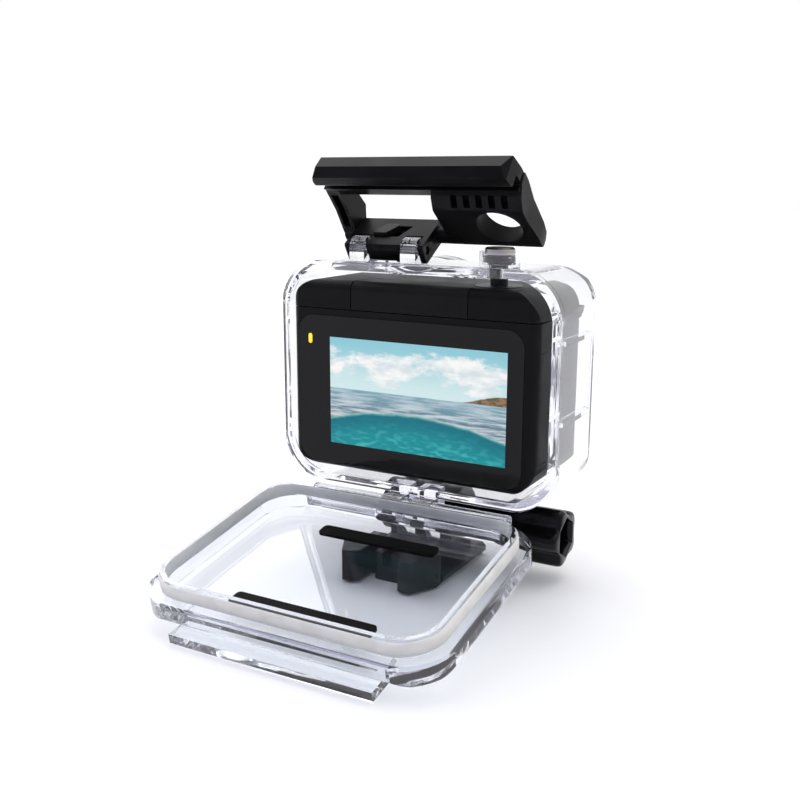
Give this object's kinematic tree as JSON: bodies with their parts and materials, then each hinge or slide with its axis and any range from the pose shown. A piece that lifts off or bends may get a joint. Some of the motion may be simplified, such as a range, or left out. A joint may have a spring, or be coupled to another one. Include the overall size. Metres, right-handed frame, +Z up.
{
  "type": "action camera in waterproof housing",
  "caption": "Small action camera inside a clear waterproof housing with a hinged rear door, an over-centre latch and a thumb-screw buckle mount.",
  "frame": {"origin": "centre of the underside of the mounting buckle's foot, level with the ground, below the housing's parting plane", "axes": "+Z up, +Y the way the lens looks, +X to the right as seen by someone facing the screen"},
  "size_m": [0.07, 0.0924, 0.0934],
  "materials": {
    "clear": "clear polycarbonate, polished",
    "port_glass": "flat coated glass",
    "black_seal": "soft black rubber",
    "grey_silicone": "matte light grey silicone",
    "steel": "drawn stainless steel",
    "latch_plastic": "fine spark-eroded black",
    "slider_plastic": "fine satin black",
    "plunger_black": "smooth black",
    "nickel": "satin nickel",
    "camera_rubber": "fine matte rubber skin",
    "strip_rubber": "fine matte rubber skin",
    "screen_glass": "black-backed cover glass",
    "display": "lit panel with a sea picture",
    "status_yellow": "amber light pipe",
    "lens_plastic": "satin black",
    "lens_glass": "coated lens glass",
    "board_green": "solder-masked board",
    "mesh": "woven mesh",
    "battery_wrap": "wrapped cell",
    "aluminium": "bare sheet",
    "button_plastic": "satin black",
    "buckle_plastic": "smooth black",
    "brass": "machined",
    "knob_plastic": "gloss black"
  },
  "bodies": {
    "housing": {"front_shell": "clear", "port_seal": "black_seal", "port_glass": "port_glass", "port_ring": "clear", "door_hinge_pin": "steel", "latch_pin": "steel", "plunger_seal": "black_seal", "camera_front_shell": "camera_rubber", "camera_rear_frame": "camera_rubber", "camera_top_strip": "strip_rubber", "camera_corner_left": "camera_rubber", "camera_corner_right": "camera_rubber", "camera_side_door": "camera_rubber", "rear_glass": "screen_glass", "rear_display": "display", "status_light": "status_yellow", "lens_surround": "lens_plastic", "lens_glass": "lens_glass", "lens_barrel": "lens_plastic", "image_sensor": "board_green", "front_window": "screen_glass", "microphone_mesh": "mesh", "battery": "battery_wrap", "main_board": "board_green", "heat_spreader": "aluminium", "frame_screws": "steel"},
    "door": {"door_shell": "clear", "door_gasket": "grey_silicone", "door_pad_upper": "black_seal", "door_pad_lower": "black_seal"},
    "rocker": {"latch_rocker": "latch_plastic", "hook_pin": "steel"},
    "hook": {"hook_arm": "latch_plastic"},
    "slider": {"lock_slider": "slider_plastic"},
    "plunger": {"plunger_stem": "plunger_black", "plunger_cap": "nickel", "plunger_spring": "steel", "plunger_clip": "steel"},
    "shutter": {"shutter_button": "button_plastic"},
    "side_key": {"side_button": "button_plastic"},
    "mount_buckle": {"buckle": "buckle_plastic", "mount_nut": "brass"},
    "screw": {"thumb_screw": "steel", "thumb_knob": "knob_plastic"}
  },
  "joints": [
    {"name": "door_hinge", "type": "hinge", "parent": "housing", "child": "door", "pos_m": [0, -0.0015, 0.0158], "axis": [1, 0, 0], "range_deg": [-101, 8]},
    {"name": "latch_rock", "type": "hinge", "parent": "housing", "child": "rocker", "pos_m": [-0.009, 0.0051, 0.0733], "axis": [1, 0, 0], "range_deg": [-32, 20]},
    {"name": "hook_swing", "type": "hinge", "parent": "rocker", "child": "hook", "pos_m": [-0.009, 0.01076, 0.07649], "axis": [-1, 0, 0], "range_deg": [-70, 43.75]},
    {"name": "lock_slide", "type": "slide", "parent": "rocker", "child": "slider", "axis": [1, 0, 0], "range_m": [0, 0.0024]},
    {"name": "plunger_press", "type": "slide", "parent": "housing", "child": "plunger", "axis": [0, 0, -1], "range_m": [0, 0.0008], "stiffness_N_per_m": 800, "springref_m": -0.0015, "deforming": ["plunger_spring"]},
    {"name": "shutter_press", "type": "slide", "parent": "housing", "child": "shutter", "axis": [0, 0, -1], "range_m": [0, 0.0008], "stiffness_N_per_m": 600, "springref_m": -0.001},
    {"name": "side_press", "type": "slide", "parent": "housing", "child": "side_key", "axis": [1, 0, 0], "range_m": [0, 0.0004], "stiffness_N_per_m": 1500, "springref_m": -0.0005},
    {"name": "buckle_tilt", "type": "hinge", "parent": "housing", "child": "mount_buckle", "pos_m": [0, 0.0118, 0.0102], "axis": [1, 0, 0], "range_deg": [-3, 80]},
    {"name": "screw_turn", "type": "hinge", "parent": "housing", "child": "screw", "pos_m": [0, 0.0118, 0.0102], "axis": [1, 0, 0], "continuous": true}
  ],
  "couplings": [
    {"joint": "hook_swing", "follows": "latch_rock", "ratio": 2.1875},
    {"joint": "shutter_press", "follows": "plunger_press", "ratio": 1}
  ]
}
